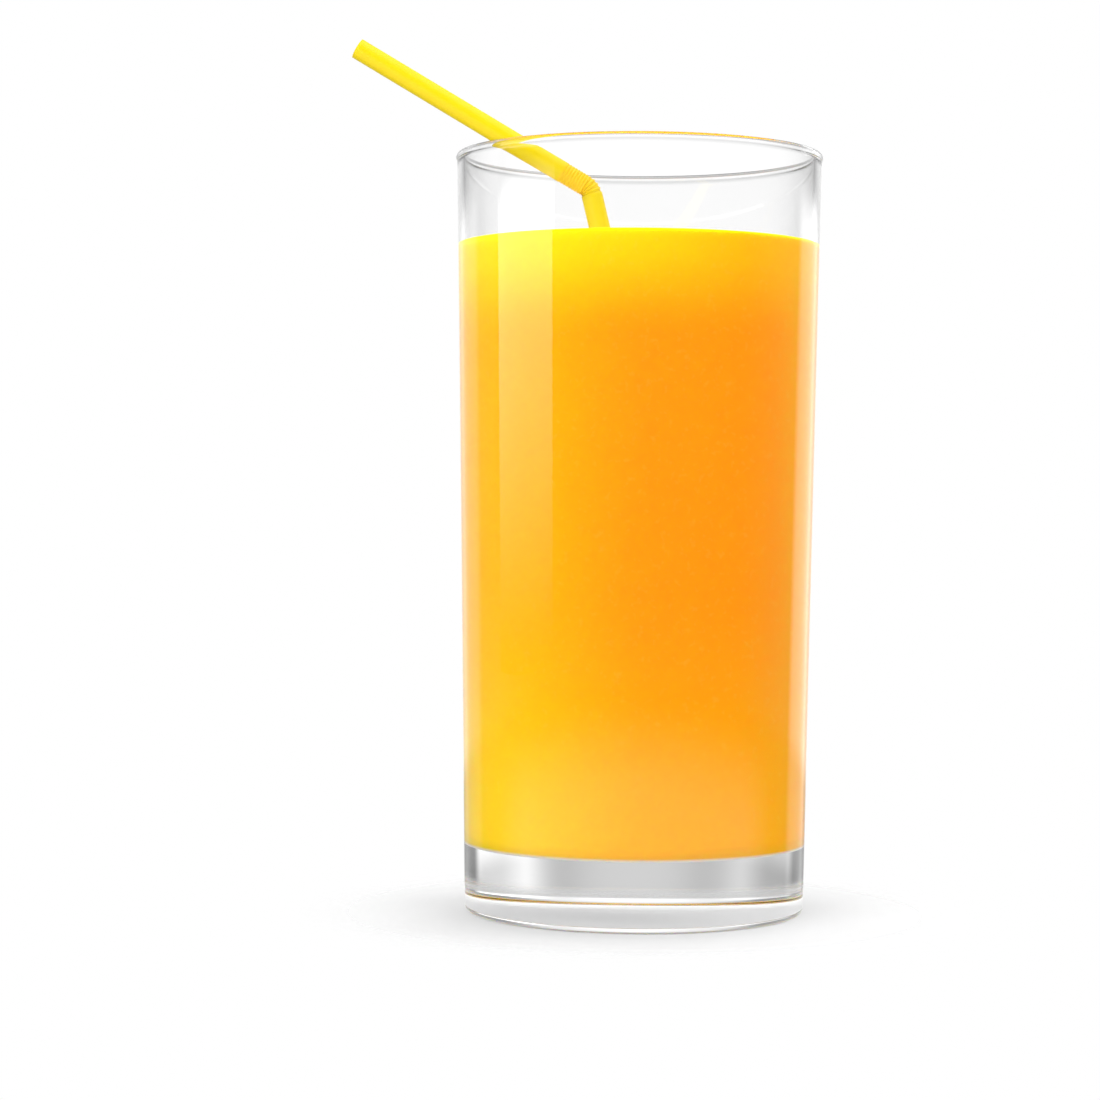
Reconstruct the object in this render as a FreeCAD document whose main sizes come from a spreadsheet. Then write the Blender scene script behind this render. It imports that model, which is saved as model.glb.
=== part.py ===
"""A tall tumbler of orange juice with a bendy straw.

The tumbler is clear glass with a thick floor and a round bead for a rim. Juice fills it to a
finger's width below the rim, and the straw stands in the juice and leans out over the rim.

Millimetres, +Z up. The origin is the centre of the base, on the plane that the glass stands on.
The front is -Y, and the straw's free end points to -X.
"""
import FreeCAD, Part
import math
import os

import Sketcher
from FreeCAD import Placement, Rotation, Vector

DRIVING_SIZES = {
    # The tumbler: straight walls that widen a little from the heel to the rim.
    "glass_height": 145.6,
    "rim_radius": 35.0,
    "mouth_radius": 33.6,
    "base_radius": 32.5,
    "floor_radius": 31.0,
    "floor_thickness": 13.0,
    "floor_corner_radius": 3.0,
    "heel_radius": 1.6,
    # The bead that the wall ends in, thicker than the wall and set a little outwards from its
    # middle, and the hollow neck under it.
    "bead_radius": 0.84,
    "bead_offset": 0.1,
    "neck_radius": 2.0,
    # The juice, measured up from the plane that the glass stands on.
    "juice_level": 127.0,
    # The straw: a short arm over the rim, an elbow of pleats, and a long leg in the juice.
    "straw_radius": 1.95,
    "straw_wall": 0.25,
    "arm_slope": 30.75,
    "arm_overhang": 30.7,
    "arm_reach": 20.0,
    "leg_lean_right": 13.6,
    "leg_lean_back": 3.6,
    "elbow_radius": 2.7,
    "closed_pleats": 8,
    "closed_pleat_length": 0.58,
    "closed_pleat_depth": 0.12,
    "open_pleats": 4,
    "open_pleat_depth": 0.22,
    # Where the arm rests on the rim, as an angle about +Z from +X, and the gaps at its two rests.
    "rest_angle": 217.0,
    "rim_gap": 0.05,
    "floor_gap": 0.1,
}

# How closely a ring edge must match the radius and height that it is looked up by.
EDGE_TOLERANCE = 1e-4
# How far the straw's bore is carried past both ends, so that it opens them cleanly.
BORE_OVERSHOOT = 1.0
# Numbers of a sketch's own origin point and axes in its constraints.
ORIGIN = -1
FLAT_AXIS = -1
UPRIGHT_AXIS = -2
START = 1
END = 2
CENTRE = 3


def size_sheet(doc):
    """The spreadsheet that holds every driving dimension."""
    sheet = doc.addObject("Spreadsheet::Sheet", "Sizes")
    for row, (alias, number) in enumerate(DRIVING_SIZES.items(), start=1):
        sheet.set("A%d" % row, alias)
        sheet.set("B%d" % row, str(number))
        sheet.setAlias("B%d" % row, alias)
    doc.recompute()
    return sheet


def origin_plane(body, role):
    """One of a body's own origin planes."""
    return next(plane for plane in body.Origin.OriginFeatures if plane.Role == role)


def number_of(owner, expression):
    """The plain number that an expression has now."""
    found = owner.evalExpression(expression)
    return float(getattr(found, "Value", found))


def upright_sketch(body, name):
    """An empty sketch on the body's XZ plane, where a point is a radius and a height."""
    sketch = body.newObject("Sketcher::SketchObject", name)
    sketch.AttachmentSupport = (origin_plane(body, "XZ_Plane"), [""])
    sketch.MapMode = "FlatFace"
    return sketch


def bind_distance(sketch, kind, line, expression):
    """Hold the start of a line at a distance from the sketch's origin."""
    number = sketch.addConstraint(
        Sketcher.Constraint(kind, ORIGIN, START, line, START, number_of(sketch, expression)))
    sketch.setExpression("Constraints[%d]" % number, expression)


def hold_corner(sketch, line, radius, height):
    """Fix the corner where a line starts; None puts it on the axis or on the base plane."""
    if radius is None:
        sketch.addConstraint(Sketcher.Constraint("PointOnObject", line, START, UPRIGHT_AXIS))
    else:
        bind_distance(sketch, "DistanceX", line, radius)
    if height is None:
        sketch.addConstraint(Sketcher.Constraint("PointOnObject", line, START, FLAT_AXIS))
    else:
        bind_distance(sketch, "DistanceY", line, height)


def straight_outline(body, name, corners):
    """A closed outline of straight lines through corners given as (radius, height)."""
    sketch = upright_sketch(body, name)
    points = []
    for radius, height in corners:
        across = number_of(sketch, radius) if radius else 0.0
        up = number_of(sketch, height) if height else 0.0
        points.append(Vector(across, up, 0.0))
    for start, end in zip(points, points[1:] + points[:1]):
        sketch.addGeometry(Part.LineSegment(start, end), False)
    count = len(corners)
    for line in range(count):
        sketch.addConstraint(
            Sketcher.Constraint("Coincident", line, END, (line + 1) % count, START))
    for line, (radius, height) in enumerate(corners):
        hold_corner(sketch, line, radius, height)
    return sketch


def round_outline(body, name, radius, height, size):
    """A circle of a named size, round a point given as (radius, height)."""
    sketch = upright_sketch(body, name)
    centre = Vector(number_of(sketch, radius), number_of(sketch, height), 0.0)
    circle = sketch.addGeometry(
        Part.Circle(centre, Vector(0, 0, 1), number_of(sketch, size)), False)
    for kind, expression in (("DistanceX", radius), ("DistanceY", height)):
        number = sketch.addConstraint(Sketcher.Constraint(
            kind, ORIGIN, START, circle, CENTRE, number_of(sketch, expression)))
        sketch.setExpression("Constraints[%d]" % number, expression)
    number = sketch.addConstraint(
        Sketcher.Constraint("Radius", circle, number_of(sketch, size)))
    sketch.setExpression("Constraints[%d]" % number, size)
    return sketch


def turned(body, kind, name, sketch):
    """A full turn of a sketch about the upright axis, which adds or takes away material."""
    feature = body.newObject(kind, name)
    feature.Profile = sketch
    feature.ReferenceAxis = (sketch, ["V_Axis"])
    feature.Angle = 360.0
    return feature


def level_rings(shape):
    """Each level circular edge of a shape, as (name, radius, height)."""
    rings = []
    for number, edge in enumerate(shape.Edges, start=1):
        if edge.Degenerated or not isinstance(edge.Curve, Part.Circle):
            continue
        curve = edge.Curve
        if abs(curve.Axis.z) > 1 - EDGE_TOLERANCE:
            rings.append(("Edge%d" % number, curve.Radius, curve.Center.z))
    return rings


def ring_edge(shape, radius, height):
    """The name of the level circular edge with this radius and height."""
    for name, ring_radius, ring_height in level_rings(shape):
        if max(abs(ring_radius - radius), abs(ring_height - height)) < EDGE_TOLERANCE:
            return name
    raise ValueError("no ring edge of radius %g at height %g" % (radius, height))


def ring_edges_between(shape, low, high):
    """The names of the level circular edges strictly between two heights."""
    names = [name for name, radius, height in level_rings(shape)
             if low + EDGE_TOLERANCE < height < high - EDGE_TOLERANCE]
    if not names:
        raise ValueError("no ring edge between the heights %g and %g" % (low, high))
    return names


def fillet(body, name, edges, radius):
    """Round some edges of the body's last feature by one named radius."""
    base = body.Tip
    feature = body.newObject("PartDesign::Fillet", name)
    feature.Base = (base, edges)
    feature.setExpression("Radius", radius)
    return feature


def rounded(body, name, rings, radius):
    """Round the body's ring edges, each given as (radius, height), by one named radius."""
    body.Document.recompute()
    edges = []
    for ring_radius, ring_height in rings:
        height = number_of(body, ring_height) if ring_height else 0.0
        edges.append(ring_edge(body.Tip.Shape, number_of(body, ring_radius), height))
    return fillet(body, name, edges, radius)


def make_glass(doc):
    """The tumbler: a turned blank, hollowed out, with a bead round its mouth."""
    body = doc.addObject("PartDesign::Body", "Glass")
    body.Label = "glass"
    bead_ring = "(Sizes.rim_radius + Sizes.mouth_radius) / 2 + Sizes.bead_offset"
    bead_height = "Sizes.glass_height - Sizes.bead_radius"
    blank = straight_outline(body, "BlankOutline", [
        (None, None),
        ("Sizes.base_radius", None),
        ("Sizes.rim_radius - (Sizes.rim_radius - Sizes.base_radius)"
         " * Sizes.bead_radius / Sizes.glass_height", bead_height),
        (None, bead_height),
    ])
    turned(body, "PartDesign::Revolution", "Blank", blank)
    cavity = straight_outline(body, "CavityOutline", [
        (None, "Sizes.floor_thickness"),
        ("Sizes.floor_radius", "Sizes.floor_thickness"),
        ("Sizes.mouth_radius", "Sizes.glass_height"),
        (None, "Sizes.glass_height"),
    ])
    turned(body, "PartDesign::Groove", "Cavity", cavity)
    rounded(body, "FloorCorner", [("Sizes.floor_radius", "Sizes.floor_thickness")],
            "Sizes.floor_corner_radius")
    rounded(body, "Heel", [("Sizes.base_radius", None)], "Sizes.heel_radius")
    bead = round_outline(body, "BeadOutline", bead_ring, bead_height, "Sizes.bead_radius")
    turned(body, "PartDesign::Revolution", "Bead", bead)
    doc.recompute()
    middle = number_of(body, bead_height)
    under = middle - number_of(body, "Sizes.bead_radius")
    fillet(body, "Neck", ring_edges_between(body.Tip.Shape, under, middle), "Sizes.neck_radius")
    body.Placement = Placement()
    return body


def make_fill(doc):
    """The space inside the glass up to the juice's surface."""
    body = doc.addObject("PartDesign::Body", "Fill")
    surface_radius = ("Sizes.floor_radius + (Sizes.mouth_radius - Sizes.floor_radius)"
                      " * (Sizes.juice_level - Sizes.floor_thickness)"
                      " / (Sizes.glass_height - Sizes.floor_thickness)")
    outline = straight_outline(body, "FillOutline", [
        (None, "Sizes.floor_thickness"),
        ("Sizes.floor_radius", "Sizes.floor_thickness"),
        (surface_radius, "Sizes.juice_level"),
        (None, "Sizes.juice_level"),
    ])
    turned(body, "PartDesign::Revolution", "FillTurn", outline)
    rounded(body, "FillCorner", [("Sizes.floor_radius", "Sizes.floor_thickness")],
            "Sizes.floor_corner_radius")
    return body


def straw_axis(size):
    """The straw's centre line: its two directions, its free end, elbow corner and foot."""
    slope = math.radians(size["arm_slope"])
    arm = Vector(math.cos(slope), 0.0, -math.sin(slope))
    leg = Vector(math.tan(math.radians(size["leg_lean_right"])),
                 math.tan(math.radians(size["leg_lean_back"])), -1.0).normalize()
    # The arm lies across the round bead, so its axis stands off along their common perpendicular.
    angle = math.radians(size["rest_angle"])
    along_rim = Vector(-math.sin(angle), math.cos(angle), 0.0)
    bead_ring = (size["rim_radius"] + size["mouth_radius"]) / 2 + size["bead_offset"]
    bead_centre = Vector(bead_ring * math.cos(angle), bead_ring * math.sin(angle),
                         size["glass_height"] - size["bead_radius"])
    lift = arm.cross(along_rim).normalize()
    if lift.z < 0:
        lift = -lift
    stand_off = size["bead_radius"] + size["rim_gap"] + size["straw_radius"]
    over_rim = bead_centre + lift * stand_off
    free_end = over_rim - arm * size["arm_overhang"]
    corner = over_rim + arm * size["arm_reach"]
    # The leg is cut square, so the low side of its end is what stands on the floor.
    low_side = size["straw_radius"] * math.sqrt(1 - leg.z ** 2)
    foot_height = size["floor_thickness"] + size["floor_gap"] + low_side
    foot = corner + leg * ((corner.z - foot_height) / -leg.z)
    return arm, leg, free_end, corner, foot


def pleats(count, length, radius, depth):
    """Steps of a run of pleats as (share of the run, radius): a valley, then a crest, each time."""
    steps = []
    for pleat in range(count):
        steps.append(((pleat + 0.5) * length, radius - depth))
        steps.append(((pleat + 1) * length, radius))
    return steps


def straw_rings(size):
    """The rings that the straw's skin runs through, as (centre, direction, radius)."""
    arm, leg, free_end, corner, foot = straw_axis(size)
    radius = size["straw_radius"]
    turn = arm.getAngle(leg)
    inward = (leg - arm * leg.dot(arm)).normalize()
    tangent = size["elbow_radius"] * math.tan(turn / 2)
    elbow_start = corner - arm * tangent
    pivot = elbow_start + inward * size["elbow_radius"]
    closed_count = int(size["closed_pleats"])
    closed_length = size["closed_pleat_length"]
    folds_start = elbow_start - arm * (closed_count * closed_length)

    rings = [(free_end, arm, radius), (folds_start, arm, radius)]
    for travel, ring_radius in pleats(closed_count, closed_length, radius,
                                      size["closed_pleat_depth"]):
        rings.append((folds_start + arm * travel, arm, ring_radius))
    open_count = int(size["open_pleats"])
    for angle, ring_radius in pleats(open_count, turn / open_count, radius,
                                     size["open_pleat_depth"]):
        outward = arm * math.sin(angle) - inward * math.cos(angle)
        heading = arm * math.cos(angle) + inward * math.sin(angle)
        rings.append((pivot + outward * size["elbow_radius"], heading, ring_radius))
    rings.append((foot, leg, radius))
    return rings


def skin(rings, side):
    """A solid with straight walls from each ring to the next; side keeps the rings in line."""
    wires = []
    for centre, heading, radius in rings:
        wire = Part.Wire(Part.makeCircle(radius))
        wire.Placement = Placement(centre, Rotation(side, Vector(), heading, "ZXY"))
        wires.append(wire)
    return Part.makeLoft(wires, True, True)


def make_straw(doc, sheet):
    """The straw: a thin tube, open at both ends, pleated along and round its elbow."""
    size = {alias: float(sheet.get(alias)) for alias in DRIVING_SIZES}
    outer_rings = straw_rings(size)
    arm = outer_rings[0][1]
    leg = outer_rings[-1][1]
    side = arm.cross(leg).normalize()
    bore_rings = [(centre, heading, radius - size["straw_wall"])
                  for centre, heading, radius in outer_rings]
    first_centre, first_heading, first_radius = bore_rings[0]
    last_centre, last_heading, last_radius = bore_rings[-1]
    bore_rings[0] = (first_centre - first_heading * BORE_OVERSHOOT, first_heading, first_radius)
    bore_rings[-1] = (last_centre + last_heading * BORE_OVERSHOOT, last_heading, last_radius)
    straw = doc.addObject("Part::Feature", "Straw")
    straw.Label = "straw"
    straw.Shape = skin(outer_rings, side).cut(skin(bore_rings, side))
    straw.Placement = Placement()
    return straw


def make_juice(doc, fill, straw):
    """The juice: the filled space less the straw, whose open foot lets it in."""
    juice = doc.addObject("Part::Cut", "Juice")
    juice.Label = "juice"
    juice.Base = fill
    juice.Tool = straw
    juice.Placement = Placement()
    return juice


def check_document(doc, parts):
    """Stop if any object failed, or if a sub-part isn't one sound solid."""
    for item in doc.Objects:
        if "Invalid" in item.State or "Error" in item.State:
            raise RuntimeError("%s failed: %s" % (item.Name, item.State))
    for part in parts:
        shape = part.Shape
        if shape.isNull() or not shape.isValid() or len(shape.Solids) != 1:
            raise RuntimeError("%s isn't one valid solid" % part.Label)


def main():
    doc = FreeCAD.newDocument("OrangeJuice")
    sheet = size_sheet(doc)
    glass = make_glass(doc)
    fill = make_fill(doc)
    straw = make_straw(doc, sheet)
    juice = make_juice(doc, fill, straw)
    doc.recompute()
    parts = [glass, juice, straw]
    check_document(doc, parts)
    os.makedirs("parts", exist_ok=True)
    for part in parts:
        part.Shape.exportStep("parts/%s.step" % part.Label)
        print("%s: %.1f mm3" % (part.Label, part.Shape.Volume))


main()
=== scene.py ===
"""The looks of a tumbler of orange juice with a bendy straw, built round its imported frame.

Metres, +Z up, in the frame's own axes: the glass stands on z = 0 round the Z axis, the front
is -Y and the straw's free end points to -X.
"""
import math

import bpy
from mathutils import Euler, Matrix, Vector


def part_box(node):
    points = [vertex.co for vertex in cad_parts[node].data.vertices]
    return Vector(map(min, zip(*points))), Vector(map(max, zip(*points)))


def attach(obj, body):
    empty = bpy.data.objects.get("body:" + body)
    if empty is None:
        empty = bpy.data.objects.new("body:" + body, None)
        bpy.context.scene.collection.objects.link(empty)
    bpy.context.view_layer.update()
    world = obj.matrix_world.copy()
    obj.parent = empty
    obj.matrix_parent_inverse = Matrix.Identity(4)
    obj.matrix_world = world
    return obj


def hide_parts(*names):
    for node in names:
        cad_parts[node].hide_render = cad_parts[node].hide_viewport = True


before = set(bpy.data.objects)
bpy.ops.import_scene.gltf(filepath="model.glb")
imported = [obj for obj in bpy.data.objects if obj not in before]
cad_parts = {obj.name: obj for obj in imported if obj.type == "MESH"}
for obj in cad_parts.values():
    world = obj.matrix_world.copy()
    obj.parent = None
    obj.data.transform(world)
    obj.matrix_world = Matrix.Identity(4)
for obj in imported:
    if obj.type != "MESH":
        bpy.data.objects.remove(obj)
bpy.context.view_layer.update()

MM = 0.001

# The tumbler, with its height taken from the frame.
GLASS_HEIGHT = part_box("glass")[1].z
RIM_RADIUS = 35.0 * MM
MOUTH_RADIUS = 33.6 * MM
BASE_RADIUS = 32.5 * MM
FLOOR_RADIUS = 31.0 * MM
HEEL_RADIUS = 1.6 * MM
FLOOR_CORNER = 3.0 * MM
BEAD_RADIUS = 0.84 * MM
BEAD_OFFSET = 0.1 * MM
BEAD_RING = (RIM_RADIUS + MOUTH_RADIUS) / 2 + BEAD_OFFSET
NECK_RADIUS = 2.0 * MM

# The juice, with its floor and its level taken from the frame. It creeps up the glass's wall,
# and a share of that up the straw.
JUICE_LOW, JUICE_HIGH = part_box("juice")
FLOOR_HEIGHT = JUICE_LOW.z
JUICE_LEVEL = JUICE_HIGH.z
JUICE_INTO_WALL = 0.08 * MM
MENISCUS_RISE = 1.3 * MM
MENISCUS_REACH = 1.4 * MM
STRAW_MENISCUS = 0.7

# The straw: a thin tube with a short arm over the rim, a pleated elbow and a long leg.
STRAW_RADIUS = 1.95 * MM
STRAW_WALL = 0.25 * MM
ARM_SLOPE = math.radians(30.75)
ARM_OVERHANG = 30.7 * MM
ARM_REACH = 20.0 * MM
LEG_LEAN_RIGHT = math.radians(13.6)
LEG_LEAN_BACK = math.radians(3.6)
ELBOW_RADIUS = 2.7 * MM
CLOSED_PLEATS = 8
CLOSED_PLEAT_LENGTH = 0.58 * MM
CLOSED_PLEAT_DEPTH = 0.12 * MM
CLOSED_PLEAT_SHARPNESS = 1.0
OPEN_PLEATS = 4
OPEN_PLEAT_DEPTH = 0.22 * MM
OPEN_PLEAT_SHARPNESS = 0.7
REST_ANGLE = math.radians(217.0)
RIM_GAP = 0.05 * MM
FLOOR_GAP = 0.1 * MM

# How finely the meshes are cut: points round a turned piece, and steps along an outline.
TURNED_AROUND = 256
STRAW_AROUND = 48
FLOOR_AROUND = 96
HEEL_STEPS = 14
NECK_STEPS = 6
BEAD_STEPS = 32
CORNER_STEPS = 12
SURFACE_STEPS = 90
SURFACE_CROWDING = 1.6
CLOSED_PLEAT_STEPS = 8
OPEN_PLEAT_STEPS = 12

# Shares of the way along a straight run. They crowd at its ends, so that smooth shading bends
# only there.
FOOT_SHARES = (0.4, 0.7, 0.9, 0.98)
WALL_SHARES = (0.004, 0.02, 0.25, 0.5, 0.75, 0.98, 0.996)
FLOOR_SHARES = (0.02, 0.1, 0.4, 0.7)
UNDERSIDE_SHARES = (0.3, 0.6, 0.9, 0.98)
ARM_SHARES = (0.0, 0.01, 0.1, 0.3, 0.6, 0.9, 0.99)
LEG_SHARES = (0.005, 0.05, 0.3, 0.6, 0.9, 0.995, 1.0)

# The two ends of a number that only switches something on or off over a span.
NONE_TO_ALL = (0.0, 1.0)
ALL_TO_NONE = (1.0, 0.0)

# Clear glass, and the light that it lets straight through, a little less in its thick base.
GLASS_IOR = 1.5
WAVE_SCALE = 45.0
WAVE_DETAIL = 1.0
WAVE_STRENGTH = 0.12
WAVE_DEPTH = 0.02 * MM
CLEAR_BASE = (0.92, 0.92, 0.92)
CLEAR_WALL = (0.96, 0.96, 0.96)
CLEAR_SPAN = (0.5 * FLOOR_HEIGHT, FLOOR_HEIGHT)

# The juice's colours, with painted light and shade. Low down, in the middle and at the top its
# side runs from a lighter colour at the left, painted light where the lamps fall, to a deeper
# orange further right, painted shade. Low down it is painted paler for light bounced up from
# below, near the top paler for light let in at its surface and deeper at the top's right, and
# at the middle's right rim paler for light from behind.
LOW_BOUNCE_LIT_TONES = ((1.0, 0.62, 0.010), (1.0, 0.42, 0.004))
MIDDLE_LIT_TO_SHADED_TONES = ((1.0, 0.485, 0.003), (1.0, 0.312, 0.003))
TOP_LIT_TONES = ((1.0, 0.74, 0.008), (1.0, 0.59, 0.004))
# Painted light on the middle's right rim, and painted shade on the top's right.
RIGHT_RIM_LIT_TONE = (1.0, 0.43, 0.003)
TOP_RIGHT_SHADED_TONE = (1.0, 0.48, 0.004)
SURFACE_TONE = (1.0, 0.46, 0.004)
# A grey painted on the juice's underside: painted shade that the glass's base shows as a grey
# line.
UNDERSIDE_PAINTED_SHADE = (0.85, 0.80, 0.70)
FLECK_TONE = (1.0, 0.80, 0.20)
JUICE_SHADE = (0.8, 0.8, 0.8, 1.0)

# Where that painted light and shade take over from each other, across the juice and up it.
LEFT_LIGHT_SPAN = (-33 * MM, 4 * MM)
RIGHT_RIM_LIGHT_SPAN = (24 * MM, 33 * MM)
TOP_RIGHT_SHADE_SPAN = (0.0, 24 * MM)
UNDERSIDE_SHADE_SPAN = (FLOOR_HEIGHT, FLOOR_HEIGHT + 0.8 * MM)
BOUNCE_LIGHT_SPAN = (FLOOR_HEIGHT, FLOOR_HEIGHT + 52 * MM)
TOP_LIGHT_SPAN = (JUICE_LEVEL - 18.5 * MM, JUICE_LEVEL + MM)

# The juice's cloudiness, its gloss in the open and behind the glass, and its pulp.
JUICE_IOR = 1.34
SOAK_DEPTHS = (1.0, 0.6, 0.15)
SOAK_SCALE = 3.0 * MM
OPEN_GLOSS = {"Roughness": 0.08, "Specular IOR Level": 0.5}
COVERED_GLOSS = {"Roughness": 0.6, "Specular IOR Level": 0.0}
PULP_SCALE = 900.0
PULP_DETAIL = 3.0
PULP_STRENGTH = 0.15
PULP_DEPTH = 0.05 * MM
FLECK_SPAN = (0.55, 0.75)
FLECK_SHARES = (0.0, 0.06)

# The straw's plastic, with fine marks and a deeper colour where it is pleated: partly the folds'
# thicker plastic, partly painted shade in the creases.
STRAW_IOR = 1.49
STRAW_SPECULAR = 0.35
STRAW_TONES = ((0.75, 0.550, 0.003), (0.75, 0.580, 0.004))
PLEAT_TONE_AND_SHADE = (0.82, 0.520, 0.006)
MARK_SCALE = 700.0
MARK_DETAIL = 2.0
MARK_SPAN = (0.3, 0.7)
MARK_ROUGHNESS = (0.30, 0.38)

# The camera: level with the middle of the glass, turned a little so that the glass stands
# right of the middle of the picture, and tipped by the photographer's slight tilt.
CAMERA_DISTANCE = 0.550
CAMERA_HEIGHT = 0.0755
CAMERA_LENS = 93.4
CAMERA_SENSOR = 36.0
CAMERA_TURN = math.radians(1.73)
CAMERA_DIP = math.radians(0.62)
CAMERA_TILT = math.radians(0.43)

# The floor: a disc that fades out at its edge. Where glass shows it, it is painted lighter
# under the glass, painted light, and darker beside it, painted shade. It lies just over the
# plane of the glass's foot.
FLOOR_REACH = 0.07
FLOOR_FADE_SPAN = (0.038, 0.95 * FLOOR_REACH)
FLOOR_LIFT = 0.1 * MM
FLOOR_SHADE = (0.60, 0.60, 0.60, 1.0)
UNDER_GLASS_PAINTED_LIGHT = (0.98, 0.98, 0.98)
BESIDE_GLASS_PAINTED_SHADE = (0.42, 0.42, 0.42)
GLASS_EDGE_SPAN = (0.030, 0.042)

# The studio round the glass, as brightnesses and as spans of a direction's X, Y or Z.
WHITE = (1.0, 1.0, 1.0, 1.0)
FRONT_ROOM = 0.10
SIDE_ROOM = 0.30
WALLS_AHEAD = (-0.5, 0.3)
BACKDROP_RIM = 0.92
BACKDROP_RIM_AHEAD = (0.78, 0.97)
BACKDROP = 1.13
BACKDROP_AHEAD = (0.96, 0.998)
LEFT_CARD = 0.55
RIGHT_CARD = 1.10
CARDS_START = (0.50, 0.62)
CARDS_STOP = (0.88, 0.96)
CARDS_TOP = (0.085, 0.105)
CARDS_SIDE = (-0.1, 0.1)
TABLE = 1.0
TABLE_AHEAD = (-0.3, 0.3)
TABLE_DOWN = (-0.135, -0.095)
LOW_SHADE = 0.57
LOW_SHADE_DOWN = (-0.100, -0.085)

# The soft box at the left: a glowing panel that dims towards its foot and ends softly at its
# head. Its two upright edges are given as angles from the front, round the glass.
SOFT_BOX_STRENGTH = 2.7
SOFT_BOX_RISE = (-0.02, 0.18)
SOFT_BOX_HEAD = (0.180, 0.198)
SOFT_BOX_TOP = 0.21
SOFT_BOX_DISTANCE = 0.65
SOFT_BOX_EDGES = (math.radians(54), math.radians(97))

# The square lights, as (name, place, size, watts). They all face the middle of the glass.
LIGHTS = (
    ("overhead", (0.0, 0.0, 0.9), 1.2, 13.0),
    ("front_left", (-0.6, -0.8, 0.35), 0.6, 7.0),
    ("front_right", (0.6, -0.8, 0.30), 0.5, 3.5),
    ("right", (0.7, 0.2, 0.3), 0.5, 2.2),
    ("back", (0.3, 0.9, 0.45), 0.6, 4.0),
)
LIGHT_TARGET = (0.0, 0.0, 0.07)

# How often a ray may bounce or pass through something.
BOUNCES = 16


# --- Meshes -----------------------------------------------------------------------------------

def arc(centre, radius, start, end, steps):
    """Points of an arc in an outline, as (radius, height), between two angles in degrees."""
    points = []
    for step in range(steps + 1):
        angle = math.radians(start + (end - start) * step / steps)
        points.append((centre[0] + radius * math.cos(angle),
                       centre[1] + radius * math.sin(angle)))
    return points


def between(start, end, shares):
    """Points on the straight line between two outline points."""
    return [(start[0] + (end[0] - start[0]) * share, start[1] + (end[1] - start[1]) * share)
            for share in shares]


def new_mesh(name, verts, faces, materials):
    """A new mesh with its materials."""
    mesh = bpy.data.meshes.new(name)
    mesh.from_pydata(verts, [], faces)
    for material in materials:
        mesh.materials.append(material)
    return mesh


def new_object(name, data):
    """A new object in the scene."""
    made = bpy.data.objects.new(name, data)
    bpy.context.scene.collection.objects.link(made)
    return made


def new_piece(name, mesh):
    """A new object for a piece's finished mesh, smooth shaded."""
    mesh.polygons.foreach_set("use_smooth", [True] * len(mesh.polygons))
    return new_object(name, mesh)


def lathe(name, outline, materials):
    """A closed mesh turned from an outline that starts and ends on the axis."""
    around = TURNED_AROUND
    verts = [(0.0, 0.0, outline[0][1])]
    faces = []
    inner = outline[1:-1]
    for radius, height in inner:
        for step in range(around):
            angle = 2 * math.pi * step / around
            verts.append((radius * math.cos(angle), radius * math.sin(angle), height))
    verts.append((0.0, 0.0, outline[-1][1]))
    last = len(verts) - 1
    for step in range(around):
        after = (step + 1) % around
        faces.append((0, 1 + after, 1 + step))
        for ring in range(len(inner) - 1):
            low = 1 + ring * around
            high = low + around
            faces.append((low + step, low + after, high + after, high + step))
        top = 1 + (len(inner) - 1) * around
        faces.append((top + step, top + after, last))
    return new_mesh(name, verts, faces, materials)


# --- Shader nodes -----------------------------------------------------------------------------

def node(tree, kind, values=None, **settings):
    """A new node, with settings of its own and plain values on its input sockets."""
    made = tree.nodes.new(kind)
    for key, value in settings.items():
        setattr(made, key, value)
    for socket, value in (values or {}).items():
        made.inputs[socket].default_value = value
    return made


def material_tree(name):
    """A new material, its emptied node tree, and the socket that its shader goes to."""
    material = bpy.data.materials.new(name)
    material.use_nodes = True
    tree = material.node_tree
    tree.nodes.clear()
    return material, tree, node(tree, "ShaderNodeOutputMaterial").inputs["Surface"]


def object_point(tree):
    """The point that is shaded, in the object's own axes."""
    return node(tree, "ShaderNodeTexCoord").outputs["Object"]


def split(tree, vector):
    """A vector's X, Y and Z, looked up by those names."""
    made = node(tree, "ShaderNodeSeparateXYZ")
    tree.links.new(vector, made.inputs["Vector"])
    return made.outputs


def noise(tree, point, scale, detail):
    """Smooth noise, as a number from 0 to 1."""
    made = node(tree, "ShaderNodeTexNoise", {"Scale": scale, "Detail": detail})
    tree.links.new(point, made.inputs["Vector"])
    return made.outputs["Fac"]


def bump(tree, height, strength, depth):
    """A normal that leans as the slopes of a height do."""
    made = node(tree, "ShaderNodeBump", {"Strength": strength, "Distance": depth})
    tree.links.new(height, made.inputs["Height"])
    return made.outputs["Normal"]


def map_range(tree, source, span, ends=NONE_TO_ALL):
    """A soft step from one end to the other, while the source number runs over a span."""
    step = node(tree, "ShaderNodeMapRange",
                {"From Min": span[0], "From Max": span[1], "To Min": ends[0], "To Max": ends[1]},
                interpolation_type="SMOOTHSTEP")
    tree.links.new(source, step.inputs["Value"])
    return step.outputs["Result"]


def worked(tree, operation, first, *others):
    """A sum or product of two or more numbers."""
    for other in others:
        step = node(tree, "ShaderNodeMath", operation=operation)
        tree.links.new(first, step.inputs[0])
        tree.links.new(other, step.inputs[1])
        first = step.outputs["Value"]
    return first


def mixed_colour(tree, share, first, second):
    """A colour between two others, each a socket or a plain colour."""
    mix = node(tree, "ShaderNodeMix", data_type="RGBA")
    tree.links.new(share, mix.inputs["Factor"])
    for socket, colour in ((mix.inputs["A"], first), (mix.inputs["B"], second)):
        if isinstance(colour, tuple):
            socket.default_value = (*colour, 1.0)
        else:
            tree.links.new(colour, socket)
    return mix.outputs["Result"]


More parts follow.
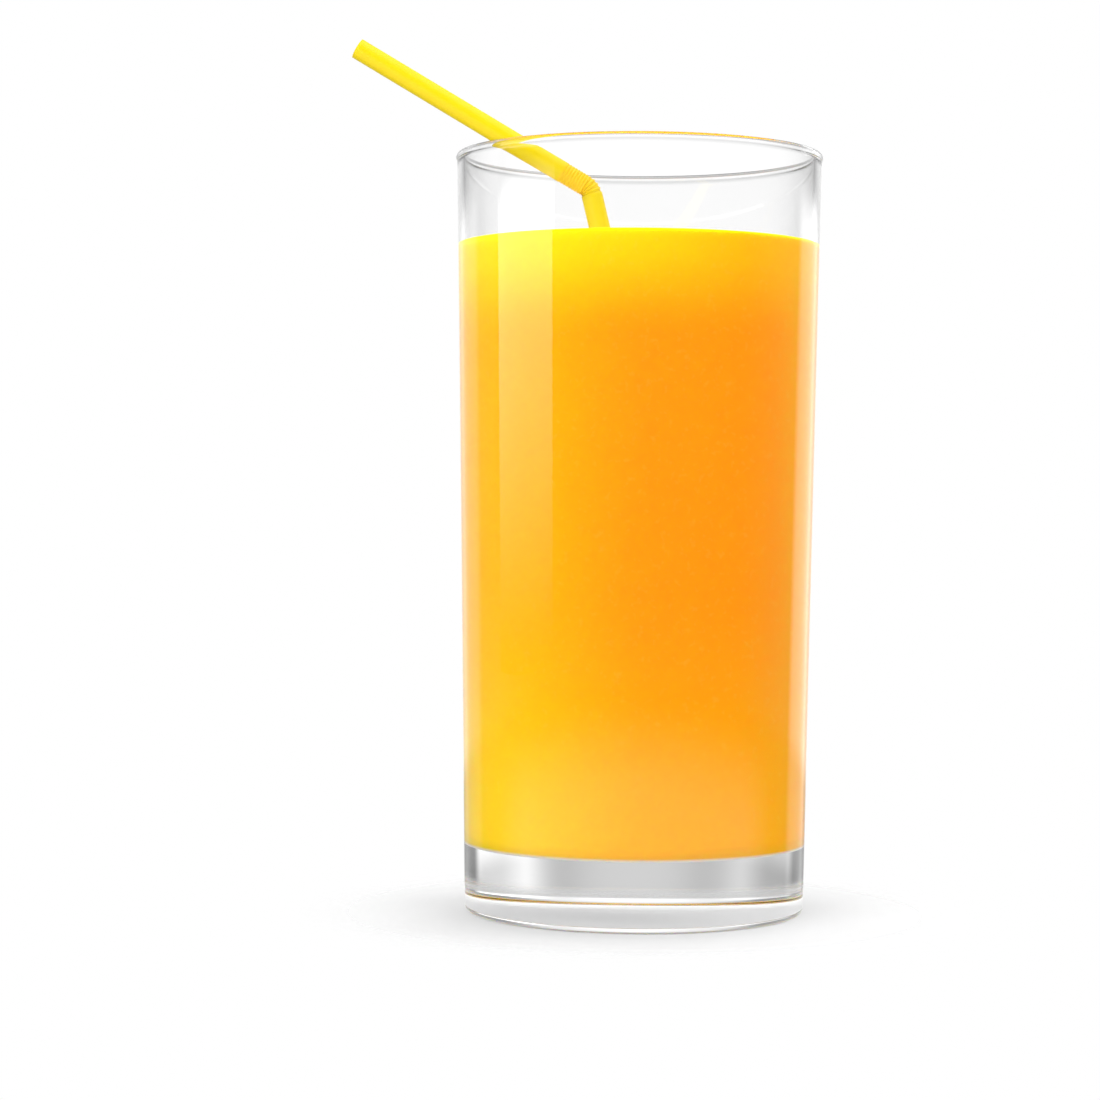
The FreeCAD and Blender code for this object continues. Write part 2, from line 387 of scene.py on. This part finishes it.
def mixed_shader(tree, share, first, second):
    """A shader between two others."""
    mix = node(tree, "ShaderNodeMixShader")
    tree.links.new(share, mix.inputs["Fac"])
    tree.links.new(first, mix.inputs[1])
    tree.links.new(second, mix.inputs[2])
    return mix.outputs["Shader"]


def light_path(tree, kind):
    """Whether the ray that meets the surface is of one kind."""
    return node(tree, "ShaderNodeLightPath").outputs[kind]


# --- Materials --------------------------------------------------------------------------------

def glass_material():
    """Clear glass that lets lamps through, with the faint waviness of moulded glass."""
    material, tree, surface = material_tree("clear_glass")
    links = tree.links
    point = object_point(tree)
    waves = noise(tree, point, WAVE_SCALE, WAVE_DETAIL)
    glass = node(tree, "ShaderNodeBsdfPrincipled",
                 {"Base Color": WHITE, "Roughness": 0.0, "IOR": GLASS_IOR,
                  "Transmission Weight": 1.0})
    links.new(bump(tree, waves, WAVE_STRENGTH, WAVE_DEPTH), glass.inputs["Normal"])
    clear = node(tree, "ShaderNodeBsdfTransparent")
    above_base = map_range(tree, split(tree, point)["Z"], CLEAR_SPAN)
    links.new(mixed_colour(tree, above_base, CLEAR_BASE, CLEAR_WALL), clear.inputs["Color"])
    shown = glass.outputs["BSDF"]
    for kind in ("Is Diffuse Ray", "Is Shadow Ray"):
        shown = mixed_shader(tree, light_path(tree, kind), shown, clear.outputs["BSDF"])
    links.new(shown, surface)
    return material


def juice_tone_with_painted_light(tree, place, in_the_open):
    """The juice's colour from place to place, for its open surface or for its side. On its side it
    carries painted light and shade.
    """
    # Painted light at the left, painted shade towards the right.
    across = map_range(tree, place["X"], LEFT_LIGHT_SPAN)
    low = mixed_colour(tree, across, *LOW_BOUNCE_LIT_TONES)
    middle = mixed_colour(tree, across, *MIDDLE_LIT_TO_SHADED_TONES)
    # Painted light on the right rim.
    middle = mixed_colour(tree, map_range(tree, place["X"], RIGHT_RIM_LIGHT_SPAN), middle,
                          RIGHT_RIM_LIT_TONE)
    if in_the_open:
        top = SURFACE_TONE
    else:
        top = mixed_colour(tree, across, *TOP_LIT_TONES)
        top = mixed_colour(tree, map_range(tree, place["X"], TOP_RIGHT_SHADE_SPAN), top, TOP_RIGHT_SHADED_TONE)
    # Painted light low down, from light bounced up, and near the top, from light let in above.
    tone_with_painted_light = mixed_colour(tree, map_range(tree, place["Z"], BOUNCE_LIGHT_SPAN), low, middle)
    tone_with_painted_light = mixed_colour(tree, map_range(tree, place["Z"], TOP_LIGHT_SPAN), tone_with_painted_light, top)
    # The underside is painted grey, painted shade for the line in the glass's base.
    return mixed_colour(tree, map_range(tree, place["Z"], UNDERSIDE_SHADE_SPAN), UNDERSIDE_PAINTED_SHADE, tone_with_painted_light)


def juice_material(name, in_the_open):
    """Cloudy juice that light soaks into, with fine pulp, in the open or behind the glass. Its
    colour carries painted light and shade.
    """
    material, tree, surface = material_tree(name)
    links = tree.links
    point = object_point(tree)
    pulp = noise(tree, point, PULP_SCALE, PULP_DETAIL)
    tone_with_painted_light = juice_tone_with_painted_light(tree, split(tree, point), in_the_open)
    flecks = map_range(tree, pulp, FLECK_SPAN, FLECK_SHARES)
    cloudy = node(tree, "ShaderNodeBsdfPrincipled",
                  {"Subsurface Weight": 1.0, "Subsurface Radius": SOAK_DEPTHS,
                   "Subsurface Scale": SOAK_SCALE, "IOR": JUICE_IOR,
                   **(OPEN_GLOSS if in_the_open else COVERED_GLOSS)},
                  subsurface_method="RANDOM_WALK")
    links.new(mixed_colour(tree, flecks, tone_with_painted_light, FLECK_TONE), cloudy.inputs["Base Color"])
    links.new(bump(tree, pulp, PULP_STRENGTH, PULP_DEPTH), cloudy.inputs["Normal"])
    # Diffuse rays meet plain grey, so that the juice shades the floor without colouring it.
    grey = node(tree, "ShaderNodeBsdfDiffuse", {"Color": JUICE_SHADE})
    links.new(mixed_shader(tree, light_path(tree, "Is Diffuse Ray"), cloudy.outputs["BSDF"],
                           grey.outputs["BSDF"]), surface)
    return material


def straw_material():
    """Glossy yellow plastic with fine marks, of a deeper yellow where it is pleated: partly the
    folds' thicker plastic, partly painted shade in the creases.
    """
    material, tree, surface = material_tree("yellow_plastic")
    links = tree.links
    marks = noise(tree, object_point(tree), MARK_SCALE, MARK_DETAIL)
    pleat_tone_and_shade = node(tree, "ShaderNodeAttribute", attribute_name="pleat_tone_and_shade")
    plain = mixed_colour(tree, marks, *STRAW_TONES)
    plastic = node(tree, "ShaderNodeBsdfPrincipled",
                   {"Specular IOR Level": STRAW_SPECULAR, "IOR": STRAW_IOR})
    links.new(map_range(tree, marks, MARK_SPAN, MARK_ROUGHNESS), plastic.inputs["Roughness"])
    # Deeper yellow at the pleats: partly thicker plastic, partly painted shade in the creases.
    links.new(mixed_colour(tree, pleat_tone_and_shade.outputs["Fac"], plain, PLEAT_TONE_AND_SHADE),
              plastic.inputs["Base Color"])
    links.new(plastic.outputs["BSDF"], surface)
    return material


# --- Pieces -----------------------------------------------------------------------------------

def inner_wall_shape():
    """The slope and lean of the glass's inner wall, and the centre of its corner at the floor."""
    slope = (MOUTH_RADIUS - FLOOR_RADIUS) / (GLASS_HEIGHT - FLOOR_HEIGHT)
    corner_centre = (FLOOR_RADIUS + slope * FLOOR_CORNER - FLOOR_CORNER,
                     FLOOR_HEIGHT + FLOOR_CORNER)
    return slope, math.degrees(math.atan(slope)), corner_centre


def neck_centre(bead, wall, side):
    """The centre of the hollow neck between wall and bead, and its angle under the bead."""
    across = wall + NECK_RADIUS
    reach = BEAD_RADIUS + NECK_RADIUS
    drop = math.sqrt(reach ** 2 - across ** 2)
    return (bead[0] + side * across, bead[1] - drop), math.degrees(math.asin(drop / reach))


def make_tumbler():
    """The glass, turned: a flat base, a round heel, plain walls and a bead for a rim."""
    wall_slope = (RIM_RADIUS - BASE_RADIUS) / GLASS_HEIGHT
    lean = math.degrees(math.atan(wall_slope))
    inner_slope, inner_lean, corner_centre = inner_wall_shape()

    heel_centre = (BASE_RADIUS + wall_slope * HEEL_RADIUS
                   - HEEL_RADIUS / math.cos(math.atan(wall_slope)), HEEL_RADIUS)
    heel = arc(heel_centre, HEEL_RADIUS, -90, -lean, HEEL_STEPS)
    foot = [(0.0, 0.0)] + between((0.0, 0.0), heel[0], FOOT_SHARES)

    bead = (BEAD_RING, GLASS_HEIGHT - BEAD_RADIUS)
    outer_wall_radius = BASE_RADIUS + wall_slope * bead[1]
    inner_wall_radius = FLOOR_RADIUS + inner_slope * (bead[1] - FLOOR_HEIGHT)
    outer_neck, outer_angle = neck_centre(bead, outer_wall_radius - bead[0], 1)
    inner_neck, inner_angle = neck_centre(bead, bead[0] - inner_wall_radius, -1)
    outer_hollow = arc(outer_neck, NECK_RADIUS, 180 - lean, 180 - outer_angle, NECK_STEPS)
    inner_hollow = arc(inner_neck, NECK_RADIUS, inner_angle, inner_lean, NECK_STEPS)
    round_bead = arc(bead, BEAD_RADIUS, -outer_angle, 180 + inner_angle, BEAD_STEPS)

    corner = arc(corner_centre, FLOOR_CORNER, -inner_lean, -90, CORNER_STEPS)
    outer_wall = between(heel[-1], outer_hollow[0], WALL_SHARES)
    inner_wall = between(inner_hollow[-1], corner[0], WALL_SHARES)
    floor = between(corner[-1], (0.0, FLOOR_HEIGHT), FLOOR_SHARES)
    outline = (foot + heel + outer_wall + outer_hollow + round_bead[1:-1] + inner_hollow
               + inner_wall + corner + floor + [(0.0, FLOOR_HEIGHT)])
    piece = new_piece("tumbler", lathe("tumbler", outline, [glass_material()]))
    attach(piece, "root")
    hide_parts("glass")


def straw_axis():
    """The straw's centre line: its two directions, its free end, elbow corner and foot."""
    arm = Vector((math.cos(ARM_SLOPE), 0.0, -math.sin(ARM_SLOPE)))
    leg = Vector((math.tan(LEG_LEAN_RIGHT), math.tan(LEG_LEAN_BACK), -1.0)).normalized()
    along_rim = Vector((-math.sin(REST_ANGLE), math.cos(REST_ANGLE), 0.0))
    bead_centre = Vector((BEAD_RING * math.cos(REST_ANGLE), BEAD_RING * math.sin(REST_ANGLE),
                          GLASS_HEIGHT - BEAD_RADIUS))
    lift = arm.cross(along_rim).normalized()
    if lift.z < 0:
        lift = -lift
    over_rim = bead_centre + lift * (BEAD_RADIUS + RIM_GAP + STRAW_RADIUS)
    free_end = over_rim - arm * ARM_OVERHANG
    corner = over_rim + arm * ARM_REACH
    low_side = STRAW_RADIUS * math.sqrt(1 - leg.z ** 2)
    foot = corner + leg * ((corner.z - FLOOR_HEIGHT - FLOOR_GAP - low_side) / -leg.z)
    return arm, leg, free_end, corner, foot


def pleat_radius(travel, depth, sharpness):
    """The straw's radius after a number of pleats, each of which dips in and comes out again."""
    return STRAW_RADIUS - depth * (0.5 - 0.5 * math.cos(2 * math.pi * (travel % 1))) ** sharpness


def straw_rings():
    """The rings of the straw's skin, as (centre, direction, radius, share of the pleats' deeper
    colour, partly painted shade).
    """
    arm, leg, free_end, corner, foot = straw_axis()
    turn = arm.angle(leg)
    inward = (leg - arm * leg.dot(arm)).normalized()
    elbow_start = corner - arm * ELBOW_RADIUS * math.tan(turn / 2)
    pivot = elbow_start + inward * ELBOW_RADIUS
    folds_start = elbow_start - arm * CLOSED_PLEATS * CLOSED_PLEAT_LENGTH
    rings = [(free_end.lerp(folds_start, share), arm, STRAW_RADIUS, 0.0) for share in ARM_SHARES]
    for step in range(CLOSED_PLEATS * CLOSED_PLEAT_STEPS):
        travel = step / CLOSED_PLEAT_STEPS
        radius = pleat_radius(travel, CLOSED_PLEAT_DEPTH, CLOSED_PLEAT_SHARPNESS)
        rings.append((folds_start + arm * travel * CLOSED_PLEAT_LENGTH, arm, radius, 1.0))
    for step in range(OPEN_PLEATS * OPEN_PLEAT_STEPS + 1):
        travel = step / OPEN_PLEAT_STEPS
        angle = turn * travel / OPEN_PLEATS
        outward = arm * math.sin(angle) - inward * math.cos(angle)
        heading = arm * math.cos(angle) + inward * math.sin(angle)
        radius = pleat_radius(travel, OPEN_PLEAT_DEPTH, OPEN_PLEAT_SHARPNESS)
        rings.append((pivot + outward * ELBOW_RADIUS, heading, radius, 1 - travel / OPEN_PLEATS))
    elbow_end = rings[-1][0]
    rings += [(elbow_end.lerp(foot, share), leg, STRAW_RADIUS, 0.0) for share in LEG_SHARES]
    return rings, arm.cross(leg).normalized()


def make_straw():
    """The straw: a thin tube with both ends open, made as an outer and an inner skin."""
    rings, side = straw_rings()
    around = STRAW_AROUND
    verts = []
    faces = []
    pleat_tone_and_shade = []
    loop = rings + [(centre, heading, radius - STRAW_WALL, pleat_tone_and_shade_share)
                    for centre, heading, radius, pleat_tone_and_shade_share in reversed(rings)]
    for centre, heading, radius, pleat_tone_and_shade_share in loop:
        across = heading.cross(side)
        for step in range(around):
            angle = 2 * math.pi * step / around
            verts.append(centre + (side * math.cos(angle) + across * math.sin(angle)) * radius)
            pleat_tone_and_shade.append(pleat_tone_and_shade_share)
    for ring in range(len(loop)):
        here = ring * around
        there = (ring + 1) % len(loop) * around
        for step in range(around):
            after = (step + 1) % around
            faces.append((here + step, there + step, there + after, here + after))
    mesh = new_mesh("bendy_straw", verts, faces, [straw_material()])
    # How much of the pleats' deeper colour, partly painted shade, each point takes.
    attribute = mesh.attributes.new("pleat_tone_and_shade", "FLOAT", "POINT")
    attribute.data.foreach_set("value", pleat_tone_and_shade)
    piece = new_piece("bendy_straw", mesh)
    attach(piece, "root")
    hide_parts("straw")


def make_juice():
    """The juice: it fills the glass just into its wall and creeps up the wall and the straw."""
    slope, lean, corner_centre = inner_wall_shape()
    underside = (0.0, FLOOR_HEIGHT - JUICE_INTO_WALL)
    corner = arc(corner_centre, FLOOR_CORNER + JUICE_INTO_WALL, -90, -lean, CORNER_STEPS)
    contact = JUICE_LEVEL + MENISCUS_RISE
    contact_radius = FLOOR_RADIUS + slope * (contact - FLOOR_HEIGHT)
    wall_top = (contact_radius + JUICE_INTO_WALL, contact)
    surface = [(contact_radius, contact)]
    for step in range(1, SURFACE_STEPS):
        inset = contact_radius * (step / SURFACE_STEPS) ** SURFACE_CROWDING
        surface.append((contact_radius - inset,
                        JUICE_LEVEL + MENISCUS_RISE * math.exp(-inset / MENISCUS_REACH)))
    outline = ([underside] + between(underside, corner[0], UNDERSIDE_SHARES) + corner
               + between(corner[-1], wall_top, WALL_SHARES) + [wall_top] + surface
               + [(0.0, JUICE_LEVEL)])
    mesh = lathe("orange_juice", outline, [juice_material("juice_in_glass", False),
                                           juice_material("juice_surface", True)])

    near_surface = JUICE_LEVEL - MM
    _, leg, _, elbow, _ = straw_axis()
    for vertex in mesh.vertices:
        if vertex.co.z < near_surface:
            continue
        centre = elbow + leg * ((elbow.z - vertex.co.z) / -leg.z)
        gap = max((vertex.co.xy - centre.xy).length - STRAW_RADIUS, 0.0)
        vertex.co.z += (STRAW_MENISCUS * MENISCUS_RISE
                        * math.exp(-gap / (STRAW_MENISCUS * MENISCUS_REACH)))
    piece = new_piece("orange_juice", mesh)
    for face in mesh.polygons:
        if face.center.z > near_surface and face.center.xy.length < contact_radius:
            face.material_index = 1
    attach(piece, "root")
    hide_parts("juice")


# --- Stage ------------------------------------------------------------------------------------

def make_floor():
    """A pale round floor under the glass, which fades into the white backdrop. Seen through the
    glass it has painted light under the glass and painted shade beside it.
    """
    material, tree, surface = material_tree("pale_floor")
    links = tree.links
    length = node(tree, "ShaderNodeVectorMath", operation="LENGTH")
    links.new(object_point(tree), length.inputs[0])
    reach = length.outputs["Value"]
    plain = node(tree, "ShaderNodeBsdfDiffuse", {"Color": FLOOR_SHADE})
    # Seen through the glass, the floor takes painted light under the glass and painted shade
    # beside it.
    through_glass = node(tree, "ShaderNodeBsdfDiffuse")
    links.new(mixed_colour(tree, map_range(tree, reach, GLASS_EDGE_SPAN), UNDER_GLASS_PAINTED_LIGHT,
                           BESIDE_GLASS_PAINTED_SHADE), through_glass.inputs["Color"])
    clear = node(tree, "ShaderNodeBsdfTransparent")
    shown = mixed_shader(tree, light_path(tree, "Is Transmission Ray"), plain.outputs["BSDF"],
                         through_glass.outputs["BSDF"])
    links.new(mixed_shader(tree, map_range(tree, reach, FLOOR_FADE_SPAN), shown,
                           clear.outputs["BSDF"]), surface)
    verts = [(0.0, 0.0, FLOOR_LIFT)]
    for step in range(FLOOR_AROUND):
        angle = 2 * math.pi * step / FLOOR_AROUND
        verts.append((FLOOR_REACH * math.cos(angle), FLOOR_REACH * math.sin(angle), FLOOR_LIFT))
    faces = [(0, 1 + step, 1 + (step + 1) % FLOOR_AROUND) for step in range(FLOOR_AROUND)]
    floor = new_object("floor", new_mesh("floor", verts, faces, [material]))


def make_world():
    """A white backdrop behind the glass, low white cards beside it, and a dim room in front."""
    world = bpy.data.worlds.new("studio")
    bpy.context.scene.world = world
    world.use_nodes = True
    tree = world.node_tree
    tree.nodes.clear()
    links = tree.links
    direction = split(tree, node(tree, "ShaderNodeTexCoord").outputs["Generated"])
    side, ahead, up = direction["X"], direction["Y"], direction["Z"]
    walls = map_range(tree, ahead, WALLS_AHEAD, (FRONT_ROOM, SIDE_ROOM))
    backdrop = map_range(tree, ahead, BACKDROP_RIM_AHEAD, (0.0, BACKDROP_RIM - SIDE_ROOM))
    middle = map_range(tree, ahead, BACKDROP_AHEAD, (0.0, BACKDROP - BACKDROP_RIM))
    cards = worked(tree, "MULTIPLY",
                   map_range(tree, ahead, CARDS_START),
                   map_range(tree, ahead, CARDS_STOP, ALL_TO_NONE),
                   map_range(tree, up, CARDS_TOP, ALL_TO_NONE),
                   map_range(tree, side, CARDS_SIDE, (LEFT_CARD, RIGHT_CARD)))
    table = worked(tree, "MULTIPLY",
                   map_range(tree, ahead, TABLE_AHEAD, (TABLE, 0.0)),
                   map_range(tree, up, TABLE_DOWN, ALL_TO_NONE))
    shade = map_range(tree, up, LOW_SHADE_DOWN, (LOW_SHADE, 1.0))
    total = worked(tree, "ADD", walls, backdrop, middle, cards)
    total = worked(tree, "ADD", worked(tree, "MULTIPLY", total, shade), table)
    room = node(tree, "ShaderNodeBackground", {"Color": WHITE})
    links.new(total, room.inputs["Strength"])
    # The camera itself sees plain white.
    page = node(tree, "ShaderNodeBackground", {"Color": WHITE})
    shown = mixed_shader(tree, light_path(tree, "Is Camera Ray"), room.outputs["Background"],
                         page.outputs["Background"])
    links.new(shown, node(tree, "ShaderNodeOutputWorld").inputs["Surface"])


def make_light(name, place, size, watts):
    """A soft square light that faces the glass and shows in no reflection."""
    data = bpy.data.lights.new(name, "AREA")
    data.size = size
    data.energy = watts
    light = new_object(name, data)
    light.visible_glossy = False
    light.visible_transmission = False
    light.location = place
    facing = Vector(LIGHT_TARGET) - Vector(place)
    light.rotation_euler = facing.to_track_quat("-Z", "Y").to_euler()


def make_soft_box():
    """The tall soft box at the left, a glowing panel that the camera itself doesn't see."""
    material, tree, surface = material_tree("soft_box")
    height = split(tree, object_point(tree))["Z"]
    strength = worked(tree, "MULTIPLY",
                      map_range(tree, height, SOFT_BOX_RISE, (0.0, SOFT_BOX_STRENGTH)),
                      map_range(tree, height, SOFT_BOX_HEAD, ALL_TO_NONE))
    glow = node(tree, "ShaderNodeEmission")
    tree.links.new(strength, glow.inputs["Strength"])
    tree.links.new(glow.outputs["Emission"], surface)
    near, far = [Vector((-SOFT_BOX_DISTANCE * math.sin(angle),
                         -SOFT_BOX_DISTANCE * math.cos(angle), 0.0)) for angle in SOFT_BOX_EDGES]
    top = Vector((0.0, 0.0, SOFT_BOX_TOP))
    mesh = new_mesh("soft_box", [near, far, far + top, near + top], [(0, 1, 2, 3)], [material])
    panel = new_object("soft_box", mesh)
    panel.visible_camera = False
    panel.visible_shadow = False


def make_camera():
    """The camera, at the photograph's height, distance and slight tilt."""
    data = bpy.data.cameras.new("camera")
    data.lens = CAMERA_LENS
    data.sensor_width = CAMERA_SENSOR
    camera = new_object("camera", data)
    level = Euler((math.radians(90) - CAMERA_DIP, 0.0, CAMERA_TURN), "XYZ").to_matrix().to_4x4()
    tilt = Matrix.Rotation(CAMERA_TILT, 4, "Z")
    camera.matrix_world = Matrix.Translation((0.0, -CAMERA_DISTANCE, CAMERA_HEIGHT)) @ level @ tilt
    bpy.context.scene.camera = camera


def render_looks():
    """Plain colours without a film curve, clean denoising and enough bounces for thick glass."""
    scene = bpy.context.scene
    scene.view_settings.view_transform = "Standard"
    scene.view_settings.look = "None"
    scene.cycles.use_denoising = True
    scene.cycles.max_bounces = BOUNCES
    scene.cycles.transmission_bounces = BOUNCES
    scene.cycles.transparent_max_bounces = BOUNCES
    scene.cycles.caustics_refractive = False
    scene.cycles.caustics_reflective = False


make_camera()
make_tumbler()
make_juice()
make_straw()
make_floor()
make_world()
for light in LIGHTS:
    make_light(*light)
make_soft_box()
render_looks()
